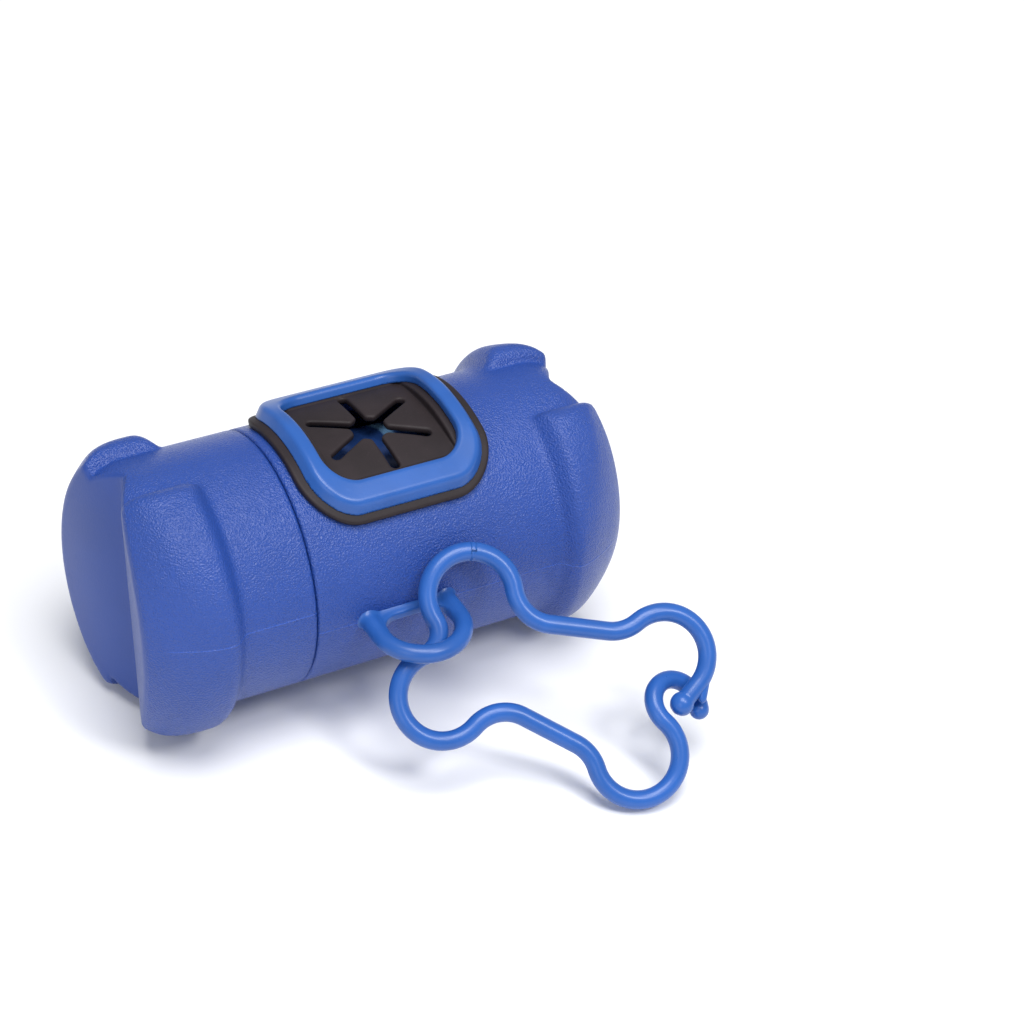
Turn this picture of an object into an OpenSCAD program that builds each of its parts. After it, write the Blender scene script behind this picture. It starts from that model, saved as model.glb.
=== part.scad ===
// Bone-shaped pocket dispenser for a roll of dog waste bags.
//
// A screw cap closes a tube that holds the roll. Both ends carry the two
// knuckles of a bone. Bags leave through a rubber star in the tube's wall,
// held down by a bezel, and a bone-shaped clip hangs the tube on a lead.
// Row frame: origin at the centre of the lug's eye, +X along the tube away
// from the cap, -Y out of the lug, +Z out of the star.

/* [Tube] */
// Outer radius of the tube
shell_r = 19; // [17.5:0.5:24]
// Wall of the tube and of the cap
shell_wall = 1.7; // [1.2:0.1:2.4]
// Length of the cap, from its rim to the tips of its knuckles
cap_len = 26; // [24:0.5:34]
// Length of the body, from the cap's rim to the tips of its knuckles
body_len = 52.8; // [50:0.5:70]
// Turn of the cap about the tube at rest, where its thread runs out
cap_turn = 11; // [0:1:30]
// Seam between the cap's rim and the body
seam = 0.15; // [0.1:0.05:0.3]

/* [Bone ends] */
// Radius of a knuckle's round outline, seen from above
knuckle_r = 8.4; // [7:0.2:9]
// How far the knuckles stand out of the tube
knuckle_rise = 2.4; // [1.5:0.1:3]
// Half of the angle that each knuckle spans round the tube
knuckle_half_angle = 70; // [50:1:78]
// Depth of the notch between two knuckles
notch_depth = 6; // [3:0.5:7.5]
// Chamfer of the knuckles' upper and lower ends
knuckle_chamfer = 1.2; // [0.6:0.1:1.6]

/* [Screw neck] */
// Length of the neck that the cap screws on
neck_len = 9; // [6:0.5:11]
// Radial room between the neck and the cap, which the thread fills
thread_room = 0.75; // [0.5:0.05:1]
// Wall of the neck
neck_wall = 1.5; // [1:0.1:2]

/* [Star window] */
// Distance from the cap's rim to the middle of the window
window_x = 16.5; // [16:0.1:24]
// Length of the bezel's foot along the tube
bezel_len = 27.8; // [27:0.2:31]
// Half of the angle that the bezel's foot spans round the tube
bezel_half_angle = 43; // [40:0.1:48]
// Corner radius of the bezel's foot
bezel_corner = 6.5; // [4:0.5:8]
// Thickness of the bezel
bezel_t = 1.7; // [1.4:0.1:2.4]
// How far the bezel's outer sides slope in
bezel_slope = 1.1; // [0.6:0.1:1.6]
// Length of the bezel's opening along the tube
opening_len = 21.4; // [20.6:0.2:22]
// Half of the angle that the bezel's opening spans round the tube
opening_half_angle = 29.5; // [28.5:0.5:33]
// Corner radius of the bezel's opening
opening_corner = 4.5; // [2:0.5:6]
// Radius of the bezel's pegs
peg_r = 0.8; // [0.6:0.1:0.9]

/* [Rubber sheet] */
// Thickness of the rubber sheet
sheet_t = 1.1; // [0.8:0.1:1.6]
// How far the rubber sheet shows past the bezel
sheet_margin = 1.2; // [0.5:0.1:1.6]
// Wall round the sunken middle of the sheet
tray_wall = 0.7; // [0.5:0.1:0.9]
// Radius to which the sunken middle is curved
membrane_r = 40; // [32:1:60]
// How far the middle lies below the outside of the tube
membrane_sink = 0.3; // [0.1:0.1:0.5]

/* [Rubber star] */
// Number of slots, and of flaps between them
slot_count = 6; // [5:1:6]
// Distance from the middle to the end of a slot
slot_reach = 9; // [7:0.1:9.1]
// Width of a slot
slot_wid = 1.4; // [0.8:0.1:1.8]
// Radius of the hole in the middle
star_hole_r = 2.6; // [1.5:0.1:3.5]
// Width of the line on which each flap bends
flap_gap = 0.25; // [0.2:0.05:0.4]

/* [Lug] */
// Distance from the cap's rim to the middle of the lug
lug_x = 14; // [10:0.5:20]
// Radius of the lug's bar
lug_bar_r = 1.35; // [1:0.05:1.8]
// Radius of the lug's bow, to the middle of its bar
lug_bow_r = 6.2; // [5.6:0.1:8]
// Length of the lug's straight legs outside the tube
lug_leg = 4; // [2:0.5:6]
// Thickness of the web in the corners between the lug's legs and the tube
lug_web_t = 1.4; // [0.8:0.1:2]
// Corner radius of the eye beside the tube
eye_corner = 3.2; // [2:0.1:3.6]

/* [Bone clip] */
// Radius of the clip's rod
rod_r = 1.35; // [1:0.05:1.5]
// Distance between the lobes along the clip, centre to centre
clip_len = 29.6; // [28:0.1:44]
// Distance between the lobes across the clip, centre to centre
clip_wid = 14.9; // [14.4:0.1:18]
// Radius of a lobe, to the middle of the rod
lobe_r = 6.3; // [5.5:0.1:6.8]
// Radius of the notch between two lobes, to the middle of the rod
clip_notch_r = 3.4; // [3.4:0.1:5]
// Radius of the bends between the lobes and the shaft
waist_r = 5.9; // [4:0.1:8]
// Distance between the two sides of the clip's shaft, at its near end
shaft_gap = 13.5; // [12:0.1:16]
// Distance between the two sides of the clip's shaft, at its far end
far_shaft_gap = 16.6; // [12:0.1:18]
// Angle round the lug's bar at which the clip's rod passes it
clip_hang = 40; // [30:1:60]
// Place along the clip's notch at which it passes the lug's bar
clip_slide = 40; // [0:1:50]
// Place along the tube, from the lug's middle, at which the clip hangs
clip_x = -0.6; // [-2:0.1:2]
// Tilt of the clip's plane about X, Y and Z
clip_pose = [44.5, 15.5, -32]; // [-60:0.5:60]

/* [Bag roll] */
// Outer radius of the roll
roll_r = 14.7; // [12:0.1:14.7]
// Length of the roll
roll_len = 58; // [50:0.5:60]
// Outer radius of the cardboard core
core_r = 4.7; // [4:0.1:7]
// Wall of the core
core_wall = 0.8; // [0.5:0.1:1.5]

/* [Fits] */
// Radial clearance between the film and its core
film_fit = 0.1; // [0.05:0.05:0.2]
// Radial clearance round a peg
peg_fit = 0.1; // [0.05:0.05:0.2]
// Gap between the clip's rod and the lug's bar, along the line that they hang on
hang_gap = 0.3; // [0.2:0.05:0.5]
// Gap between the sheet's tray and the tube's window
tray_fit = 0.1; // [0.05:0.05:0.2]

/* [Hidden] */

$fn = 96;
over = 1; // overshoot of a cut past the face that it opens
blend = 0.02; // a round corner stands this far past the flats that it joins
top = 90; // angle round the tube, from the front

// Tube and bone ends. x runs from the cap's rim.
bore_r = shell_r - shell_wall;
crest_r = shell_r + knuckle_rise;
knuckle_axis_r = crest_r - knuckle_r;
shoulder_t = shell_wall;

// The notch is an arc that runs tangent into both knuckles' round outlines
notch_r = (pow(knuckle_axis_r, 2) + pow(notch_depth, 2)) / (2 * notch_depth) - knuckle_r;

// The roll lies midway between the two end walls
roll_x = (body_len - cap_len - roll_len) / 2;

// Screw neck
neck_r = bore_r - thread_room;
neck_bore_r = neck_r - neck_wall;
neck_chamfer = 0.5;

// Star sheet and bezel lie on the tube as layers
sheet_r = shell_r + sheet_t;
bezel_r = sheet_r + bezel_t;
slope_angle = deg(bezel_slope / bezel_r);
bezel_foot = 0.25; // height of the upright foot of its outer sides
sheet_len = bezel_len + 2 * sheet_margin;
sheet_half_angle = bezel_half_angle + deg(sheet_margin / sheet_r);
sheet_corner = bezel_corner + sheet_margin;
peg_x = (opening_len + bezel_len - bezel_slope) / 4;
peg_angle = 20;
peg_y = bezel_r * sin(peg_angle);
peg_sink = 0.5; // how far the pegs reach up into the bezel

// The sheet's middle is a tray that hangs in the tube's window
tray_end_inset = 0.4;
tray_side_inset = 0.7;
tray_len = opening_len - 2 * tray_end_inset;
tray_wid = 2 * (bezel_r * sin(opening_half_angle) - tray_side_inset);
membrane_top = shell_r - membrane_sink;
membrane_axis = membrane_top - membrane_r;

// Flaps: corner-to-centre distance of the hexagon is slot_reach
flap_turn = 360 / slot_count;
flap_root = slot_reach * cos(flap_turn / 2);

// Lug
eye_y = -(shell_r + lug_leg);
eye_top = lug_leg - 1; // where the eye ends beside the tube
eye_half_wid = lug_bow_r - 1;

// Bone clip, in its own plane: origin at the middle of the near notch, u along
// the clip, v across it
clip_half = clip_wid / 2;
lobe_reach = sqrt(pow(lobe_r + clip_notch_r, 2) - pow(clip_half, 2));
lobe_u = lobe_reach - clip_notch_r;
far_lobe_u = lobe_u + clip_len;
notch_turn = atan2(clip_half, lobe_reach);
near_waist = [lobe_u + waist_reach(shaft_gap), shaft_gap / 2 + waist_r];
far_waist = [far_lobe_u - waist_reach(far_shaft_gap), far_shaft_gap / 2 + waist_r];
shaft_run = far_waist - near_waist;
shaft_turn = atan2(shaft_run.y, shaft_run.x);
bar_gap = lug_bar_r + rod_r + hang_gap;
thick_rod_r = rod_r + 0.02; // every other stretch of the rod takes in its neighbours
tuck = 0.1;

// The arm flexes at the top of the near lobe
flex_turn = 100;
flex_gap = 0.7;
flex_half_angle = deg(flex_gap / 2 / lobe_r);

// Hook at the free end of the frame, and the fork on the arm that it catches
hook_turn = 66;
hook_r = 3.8;
hook_sweep = 239;
hook_dip = 26;
hook_tip_r = 1.45;
prong_turn = 25.5;
prong_len = 3.5;
prong_ball_r = 1.75;
barb_turn = 10;
barb_lean = 14;
barb_len = 3.6;
barb_root_r = 1.1;
barb_tip_r = 0.5;

// Degrees of an angle in radians
function deg(radians) = radians * 180 / PI;

// A point of the plane at radius r and angle a
function polar(r, a) = [r * cos(a), r * sin(a)];

// How far along the clip a bend of its waist lies from the lobe beside it
function waist_reach(gap) = sqrt(pow(lobe_r + waist_r, 2) - pow(gap / 2 + waist_r - clip_half, 2));

// Angle at which that bend runs into the lobe
function waist_turn(gap) = atan2(gap / 2 + waist_r - clip_half, waist_reach(gap));

// Puts a piece that is drawn about the tube's axis into the row frame
module at_axis() {
    translate([-lug_x, -eye_y, 0]) children();
}

// Turns a profile, drawn with x along the tube and y out from its axis, round
// the tube through an angle that is centred on `facing`
module revolve(facing = 0, angle = 360) {
    rotate([0, 90, 0]) rotate([0, 0, -90 - facing - angle / 2])
        rotate_extrude(angle = angle) mirror([1, -1]) children();
}

// Extrudes a section of the tube, drawn with x down and y to the back
module along_tube(len) {
    rotate([0, 90, 0]) linear_extrude(len) children();
}

// Half profile of the tube's wall, which rounds over into its end
module wall_profile(len, inset) {
    round_x = len - knuckle_r;
    round_y = shell_r - knuckle_r;
    square([round_x, shell_r - inset]);
    square([len - inset, round_y]);
    translate([round_x, round_y]) circle(knuckle_r - inset);
}

// Half profile through a knuckle
module knuckle_profile(len, inset) {
    round_x = len - knuckle_r;
    reach = knuckle_r - inset;
    translate([round_x - reach, 0]) square([2 * reach, knuckle_axis_r]);
    translate([round_x, knuckle_axis_r]) circle(reach);
}

// Section of the front and the back knuckle across the tube: two wedges whose
// outer corners are chamfered
module knuckle_section(inset) {
    side = knuckle_half_angle - deg(inset / shell_r);
    chamfer_r = crest_r - inset - knuckle_chamfer;
    outside_r = crest_r + over;
    chamfered_side = side - deg((outside_r - chamfer_r) / crest_r);
    far = 2 * crest_r;
    half = [[0, 0], polar(chamfer_r, side), polar(outside_r, chamfered_side),
        [far, outside_r * sin(chamfered_side)], [far, -over], [0, -over]];
    for (back = [0, 1], down = [0, 1])
        mirror([0, back]) rotate(-90) mirror([0, down]) polygon(half);
}

// A bone end: round wall, two knuckles and the notch between them. A positive
// inset gives the space inside a wall of that thickness.
module bone_end(len, inset = 0) {
    difference() {
        union() {
            revolve() wall_profile(len, inset);
            intersection() {
                revolve() knuckle_profile(len, inset);
                along_tube(len + over) knuckle_section(inset);
            }
        }
        translate([len + notch_r - notch_depth, 0, 0])
            cylinder(h = 4 * crest_r, r = notch_r + inset, center = true);
    }
}

// Upright block in the middle of the window
module window_block(len, wid) {
    translate([window_x - len / 2, -wid / 2, shell_r / 2]) cube([len, wid, shell_r]);
}

// A patch of the tube over the window, between two radii, with round corners
module patch(len, half_angle, corner, inner, outer) {
    corner_at = half_angle - asin(corner / outer);
    block = corner + over;
    difference() {
        revolve(top, 2 * half_angle)
            translate([window_x - len / 2, inner]) square([len, outer - inner]);
        for (side = [-1, 1], end = [0, 1])
            rotate([side * corner_at, 0, 0]) translate([window_x, 0, 0])
                mirror([end, 0, 0]) mirror([0, side < 0 ? 0 : 1, 0])
                    translate([len / 2 - corner, 0, 0]) difference() {
                        cube([block, block, outer + over]);
                        translate([0, 0, -over]) cylinder(h = outer + 3 * over, r = corner + blend);
                    }
    }
}

// Where the bezel's pegs stand
module at_pegs() {
    for (x = [-peg_x, peg_x], y = [-peg_y, peg_y])
        translate([window_x + x, y, 0]) children();
}

module neck() {
    revolve() polygon([
        [-neck_len, neck_bore_r],
        [-neck_len, neck_r - neck_chamfer],
        [-neck_len + neck_chamfer, neck_r],
        [shoulder_t, neck_r],
        [shoulder_t, neck_bore_r]]);
}

// Round solid along the tube's axis
module rod_along(r, from, to) {
    translate([from, 0, 0]) rotate([0, 90, 0]) cylinder(h = to - from, r = r);
}

module body_shell() {
    color("royalblue") at_axis() difference() {
        union() {
            bone_end(body_len);
            neck();
        }
        // Room for the roll, behind the shoulder
        intersection() {
            bone_end(body_len, shell_wall);
            translate([shoulder_t, -2 * shell_r, -2 * shell_r])
                cube([body_len, 4 * shell_r, 4 * shell_r]);
        }
        rod_along(neck_bore_r, -over, shoulder_t + over);
        window_block(tray_len + 2 * tray_fit, tray_wid + 2 * tray_fit);
        at_pegs() cylinder(h = 2 * shell_r, r = peg_r + peg_fit);
    }
}

module cap_shell() {
    color("mediumblue") at_axis() rotate([-cap_turn, 0, 0]) mirror([1, 0, 0])
        difference() {
            bone_end(cap_len);
            bone_end(cap_len, shell_wall);
            rod_along(bore_r, -over, over);
            rod_along(2 * shell_r, -over, seam);
        }
}

// D-shaped loop that is moulded on the tube
module lug() {
    corner_x = eye_half_wid - eye_corner;
    color("royalblue") difference() {
        union() {
            rotate([0, 0, 180]) rotate_extrude(angle = 180)
                translate([lug_bow_r, 0]) circle(lug_bar_r);
            for (x = [-lug_bow_r, lug_bow_r])
                translate([x, 0, 0]) rotate([-90, 0, 0])
                    cylinder(h = lug_leg + over, r = lug_bar_r);
            // Web that rounds the eye's corners beside the tube
            linear_extrude(lug_web_t, center = true) difference() {
                translate([-lug_bow_r, 0]) square([2 * lug_bow_r, lug_leg + over]);
                translate([-corner_x, -over]) square([2 * corner_x, eye_top + over]);
                for (x = [-corner_x, corner_x])
                    translate([x, eye_top - eye_corner]) circle(eye_corner + blend);
            }
        }
        at_axis() rod_along(shell_r, 0, body_len);
    }
}

module bezel() {
    peg_foot = sqrt(pow(sheet_r, 2) - pow(peg_y, 2));
    foot = bezel_half_angle;
    crest = bezel_half_angle - slope_angle;
    half_len = bezel_len / 2;
    foot_r = sheet_r + bezel_foot;
    color("cornflowerblue") at_axis() {
        difference() {
            patch(bezel_len, bezel_half_angle, bezel_corner, sheet_r, bezel_r);
            patch(opening_len, opening_half_angle, opening_corner, sheet_r - over, bezel_r + over);
            // Outer sides slope in towards the crest, from a low upright foot
            for (end = [0, 1])
                translate([window_x, 0, 0]) mirror([end, 0, 0]) revolve(top, 180)
                    polygon([[half_len - bezel_slope, bezel_r],
                        [half_len - bezel_slope, bezel_r + over],
                        [half_len + over, bezel_r + over],
                        [half_len + over, foot_r - over * (bezel_r - foot_r) / bezel_slope]]);
            for (side = [0, 1])
                mirror([0, side, 0]) translate([window_x - half_len - over, 0, 0])
                    along_tube(bezel_len + 2 * over) rotate(180)
                        polygon([polar(foot_r, foot), polar(bezel_r, crest),
                            polar(bezel_r + over, crest), polar(bezel_r + over, 90),
                            polar(foot_r, 90)]);
        }
        // Pegs reach through the sheet to the tube's inner face
        difference() {
            at_pegs() cylinder(h = peg_foot + peg_sink, r = peg_r);
            rod_along(bore_r, 0, body_len);
        }
    }
}

// Outline of the star: slots that run from the hole in the middle
module star_slots() {
    slot_run = slot_reach - slot_wid / 2;
    circle(star_hole_r);
    for (i = [1:slot_count])
        rotate((i - 0.5) * flap_turn) {
            translate([0, -slot_wid / 2]) square([slot_run, slot_wid]);
            translate([slot_run, 0]) circle(slot_wid / 2);
        }
}

// Space under a surface that is curved less than the tube
module under_bow(r) {
    translate([0, 0, membrane_axis]) rod_along(r, -over, 2 * window_x + over);
}

module star_sheet() {
    color("dimgray") at_axis() difference() {
        union() {
            patch(sheet_len, sheet_half_angle, sheet_corner, shell_r, sheet_r);
            // Tray, down to the underside of the membrane
            difference() {
                intersection() {
                    window_block(tray_len, tray_wid);
                    rod_along(sheet_r - tuck, -over, 2 * window_x + over);
                }
                under_bow(membrane_r - sheet_t);
            }
        }
        // Room over the membrane
        difference() {
            window_block(tray_len - 2 * tray_wall, tray_wid - 2 * tray_wall);
            under_bow(membrane_r);
        }
        translate([window_x, 0, 0]) linear_extrude(2 * shell_r) {
            star_slots();
            rotate(flap_turn / 2) circle(slot_reach, $fn = slot_count);
        }
        at_pegs() cylinder(h = 2 * shell_r, r = peg_r + peg_fit);
    }
}

// One rubber flap between two slots, which bends at its root
module star_flap(i) {
    reach = slot_reach - flap_gap / cos(flap_turn / 2);
    color("gray") at_axis() intersection() {
        difference() {
            under_bow(membrane_r);
            under_bow(membrane_r - sheet_t);
        }
        translate([window_x, 0, 0]) linear_extrude(2 * shell_r) difference() {
            polygon([[0, 0], polar(reach, (i - 0.5) * flap_turn),
                polar(reach, (i + 0.5) * flap_turn)]);
            star_slots();
        }
    }
}

module roll_core() {
    color("tan") at_axis() difference() {
        rod_along(core_r, roll_x, roll_x + roll_len);
        rod_along(core_r - core_wall, roll_x - over, roll_x + roll_len + over);
    }
}

module bag_roll() {
    color("deepskyblue") at_axis() difference() {
        rod_along(roll_r, roll_x, roll_x + roll_len);
        rod_along(core_r + film_fit, roll_x - over, roll_x + roll_len + over);
    }
}

// Puts the clip where its notch passes under the lug's bar
module clip_frame() {
    translate([clip_x, -lug_bow_r + bar_gap * cos(clip_hang), -bar_gap * sin(clip_hang)])
        rotate(clip_pose)
            translate([clip_notch_r * (1 - cos(clip_slide)), clip_notch_r * sin(clip_slide), 0])
                children();
}

// Bend of the clip's rod about a point, between two angles
module rod_bend(centre, r, from, to, thick = rod_r) {
    translate(centre) rotate([0, 0, from])
        rotate_extrude(angle = to - from) translate([r, 0]) circle(thick);
}

// A lobe of the clip, whose slightly thicker ends take in the stretches beside it
module lobe(u, from, to) {
    tuck_turn = deg(tuck / lobe_r);
    rod_bend([u, clip_half], lobe_r, from - tuck_turn, to + tuck_turn, thick_rod_r);
}

// The far part of a side: bend, shaft, bend, and the far lobe down to `end`
module clip_side(end) {
    rod_bend(near_waist, waist_r, 180 + waist_turn(shaft_gap), 270 + shaft_turn);
    translate(near_waist) rotate([0, 0, shaft_turn]) translate([-tuck, -waist_r, 0])
        rotate([0, 90, 0]) cylinder(h = norm(shaft_run) + 2 * tuck, r = thick_rod_r);
    rod_bend(far_waist, waist_r, 270 + shaft_turn, 360 - waist_turn(far_shaft_gap));
    lobe(far_lobe_u, end, 180 - waist_turn(far_shaft_gap));
}

module bone_clip() {
    color("steelblue") clip_frame() {
        rod_bend([-clip_notch_r, 0], clip_notch_r, -notch_turn, notch_turn);
        lobe(lobe_u, flex_turn + flex_half_angle, 180 + notch_turn);
        mirror([0, 1, 0]) {
            lobe(lobe_u, waist_turn(shaft_gap), 180 + notch_turn);
            clip_side(-hook_turn);
        }
        // The hook bends on, and dips behind the arm
        translate([far_lobe_u, -clip_half, 0]) rotate([0, 0, hook_turn])
            translate([lobe_r, 0, 0]) rotate([0, hook_dip, 0]) {
                rod_bend([hook_r, 0], hook_r, 180 - hook_sweep, 180);
                translate([hook_r, 0, 0]) translate(polar(hook_r, 180 - hook_sweep))
                    sphere(hook_tip_r);
            }
    }
}

module clip_arm() {
    color("lightsteelblue") clip_frame() {
        lobe(lobe_u, waist_turn(shaft_gap), flex_turn - flex_half_angle);
        clip_side(-prong_turn);
        translate([far_lobe_u, clip_half, 0]) {
            // Prong with a ball, in front of the hook
            rotate([0, 0, -prong_turn]) translate([lobe_r, 0, 0]) rotate([90, 0, 0]) {
                cylinder(h = prong_len, r = rod_r);
                translate([0, 0, prong_len]) sphere(prong_ball_r);
            }
            // Barb beyond the hook's tip
            rotate([0, 0, -barb_turn]) translate([lobe_r, 0, 0])
                rotate([90, 0, barb_lean + barb_turn]) {
                    cylinder(h = barb_len, r1 = barb_root_r, r2 = barb_tip_r);
                    translate([0, 0, barb_len]) sphere(barb_tip_r);
                }
        }
    }
}

body_shell();
lug();
bezel();
star_sheet();
for (i = [1:slot_count])
    star_flap(i);
cap_shell();
roll_core();
bag_roll();
bone_clip();
clip_arm();
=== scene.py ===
"""Finishes a bone-shaped dispenser for dog waste bags: shells, screw threads, rubber star, clip and roll."""

import math

import bmesh
import bpy
import numpy as np
from bpy.props import FloatProperty, FloatVectorProperty, IntProperty, PointerProperty
from mathutils import Matrix, Vector


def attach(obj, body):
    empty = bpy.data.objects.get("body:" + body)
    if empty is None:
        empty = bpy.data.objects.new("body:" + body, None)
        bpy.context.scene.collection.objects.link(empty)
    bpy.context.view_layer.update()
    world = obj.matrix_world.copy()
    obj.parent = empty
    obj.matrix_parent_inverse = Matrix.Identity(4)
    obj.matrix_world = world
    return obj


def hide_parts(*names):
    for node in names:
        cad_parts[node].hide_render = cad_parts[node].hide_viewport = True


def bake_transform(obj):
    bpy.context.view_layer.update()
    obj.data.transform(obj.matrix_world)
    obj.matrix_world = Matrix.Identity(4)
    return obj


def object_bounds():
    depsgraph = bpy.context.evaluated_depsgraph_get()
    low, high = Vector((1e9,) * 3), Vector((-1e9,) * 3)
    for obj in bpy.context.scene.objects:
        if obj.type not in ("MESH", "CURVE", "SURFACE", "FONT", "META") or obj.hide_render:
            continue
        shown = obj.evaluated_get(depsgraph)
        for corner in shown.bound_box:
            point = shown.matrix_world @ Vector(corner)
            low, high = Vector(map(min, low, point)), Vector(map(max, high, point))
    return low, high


bl_info = {
    "name": "Bag dispenser finish",
    "version": (1, 0, 0),
    "blender": (4, 5, 0),
    "location": "View3D > Sidebar > Dispenser",
    "description": "Builds the finished surfaces of a bone-shaped bag dispenser",
    "category": "Object",
}

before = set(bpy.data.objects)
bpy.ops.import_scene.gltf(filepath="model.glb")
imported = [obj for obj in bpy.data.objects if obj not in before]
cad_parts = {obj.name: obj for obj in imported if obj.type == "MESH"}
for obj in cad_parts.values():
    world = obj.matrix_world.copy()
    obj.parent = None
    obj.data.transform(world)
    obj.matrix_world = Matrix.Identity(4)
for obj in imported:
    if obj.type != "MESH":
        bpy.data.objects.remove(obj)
CAD_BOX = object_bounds()

MM = 0.001
# Where the tube's axis meets the cap's rim, in millimetres.
# Forms are drawn from there, with x along the tube towards the body's end.
RIM = np.array((-14.0, 23.0, 0.0))

# Sizes that the moulded forms share, in millimetres. A size that ends in ROUND is the blend over an edge.
TUBE_R, WALL, CAP_LEN, BODY_LEN, SEAM = 19.0, 1.7, 26.0, 52.8, 0.15
CAP_TURN = math.radians(11)
NECK_LEN, NECK_R, NECK_BORE_R = 9.0, 16.55, 15.05
INNER_ROUND, RIM_ROUND, CUT_ROUND = 0.5, 0.45, 0.3
# The tube's end rounds over by END_R. The notch's face sinks by NOTCH_DEPTH and rises again by NOTCH_RISE.
END_R, NOTCH_DEPTH, NOTCH_RISE, NOTCH_BEND, NOTCH_ROUND = 8.4, 6.0, 5.8, 7.5, 0.5
# A knuckle is a dome whose middle lies DOME_BACK before the end. DOME_HEIGHT makes it taller than deep.
DOME_R, DOME_BACK, DOME_AXIS_R, DOME_HEIGHT, DOME_ROUND = 20.0, 16.0, 1.85, 0.86, 1.5
KNUCKLE_OUT, KNUCKLE_HALF_ANGLE, KNUCKLE_ROUND = 21.7, math.radians(70), 1.2
# Its flank climbs from a foot that lies CAP_FOOT or BODY_FOOT before the end.
CAP_FOOT, BODY_FOOT, FLANK_SLOPE, FLANK_ROUND, FOOT_ROUND = 14.8, 13.4, 1.15, 1.0, 0.6
CHAMFER_AT, CHAMFER_HEIGHT, CHAMFER_SLOPE, CHAMFER_ROUND = 6.91, 18.98, 0.4077, 0.8
WINDOW_X, BEZEL_LEN, BEZEL_HALF_ANGLE, BEZEL_CORNER = 16.5, 27.8, math.radians(43), 6.5
SHEET_R, BEZEL_R, BEZEL_SLOPE, BEZEL_CROWN = 20.1, 21.8, 1.1, 0.06
OPENING_LEN, OPENING_HALF_ANGLE, OPENING_CORNER = 21.4, math.radians(29.5), 4.5
TRAY_LEN, TRAY_WID, TRAY_WALL, TRAY_GAP = 20.6, 20.07, 0.7, 0.1
SHEET_T, SHEET_MARGIN, MEMBRANE_R, MEMBRANE_Z = 1.1, 1.2, 40.0, -21.3
SLOT_REACH, SLOT_HALF, STAR_HOLE_R = 9.0, 0.7, 2.6
FLAPS = 6
FLAP_ROOT = SLOT_REACH * math.cos(math.pi / FLAPS)
ROD_R, LUG_BOW_R, LUG_WEB_T, LUG_EYE_CORNER = 1.35, 6.2, 1.4, 3.2
# The lug's bow is drawn about the centre of its eye, which lies this far in front of the tube's axis.
LUG_OUT = 23.0
ROLL_X, ROLL_LEN, ROLL_R, CORE_R, CORE_WALL = -15.6, 58.0, 14.7, 4.7, 0.8
# A distance that is outside every form
FAR = 5.0


# ---------------------------------------------------------------- forms


def smooth_max(a, b, k):
    """The larger of two distances, with the crease between them rounded over k."""
    h = np.maximum(k - np.abs(a - b), 0) / k
    return np.maximum(a, b) + h * h * k / 4


def smooth_min(a, b, k):
    """The smaller of two distances, with the crease between them filled over k."""
    return -smooth_max(-a, -b, k)


def quarter_round(u, v, r):
    """Distance to a quarter-plane u < 0, v < 0 whose corner has radius r."""
    u, v = u + r, v + r
    return np.hypot(np.maximum(u, 0), np.maximum(v, 0)) + np.minimum(np.maximum(u, v), 0) - r


def round_rect(u, v, half_u, half_v, r):
    """Distance to a rectangle with rounded corners, about the origin."""
    return quarter_round(np.abs(u) - half_u, np.abs(v) - half_v, r)


def notch_face(y, length):
    """How far along the tube the notch's smooth face lies, at y in front of or behind the middle."""
    reach = np.sqrt(y * y + 1)
    return length - NOTCH_DEPTH + NOTCH_RISE * (1 - np.exp((1 - reach) / NOTCH_BEND))


def bone_end(x, y, z, length, foot):
    """A tube that rounds over into its end, with a front and a back knuckle and the notch between them."""
    r = np.hypot(y, z)
    front, height = np.abs(y), np.abs(z)
    wall = quarter_round(x - length, r - TUBE_R, END_R)
    spread = np.hypot(front, height * DOME_HEIGHT)
    dome = np.hypot(x - (length - DOME_BACK), spread - DOME_AXIS_R) - DOME_R
    dome = smooth_max(dome, r - KNUCKLE_OUT, DOME_ROUND)
    flank = (r - TUBE_R - (x - (length - foot)) * FLANK_SLOPE) / math.hypot(1, FLANK_SLOPE)
    side = height * math.cos(KNUCKLE_HALF_ANGLE) - front * math.sin(KNUCKLE_HALF_ANGLE)
    chamfer = height - CHAMFER_HEIGHT - CHAMFER_SLOPE * (front - CHAMFER_AT)
    chamfer = chamfer / math.hypot(1, CHAMFER_SLOPE)
    side = smooth_max(side, chamfer, CHAMFER_ROUND)
    knuckle = smooth_max(smooth_max(dome, flank, FLANK_ROUND), side, KNUCKLE_ROUND)
    shape = smooth_min(wall, knuckle, FOOT_ROUND)
    face = notch_face(y, length)
    lean = (length - NOTCH_DEPTH + NOTCH_RISE - face) / NOTCH_BEND * front / np.sqrt(y * y + 1)
    return smooth_max(shape, (x - face) / np.sqrt(1 + lean * lean), NOTCH_ROUND)


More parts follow.
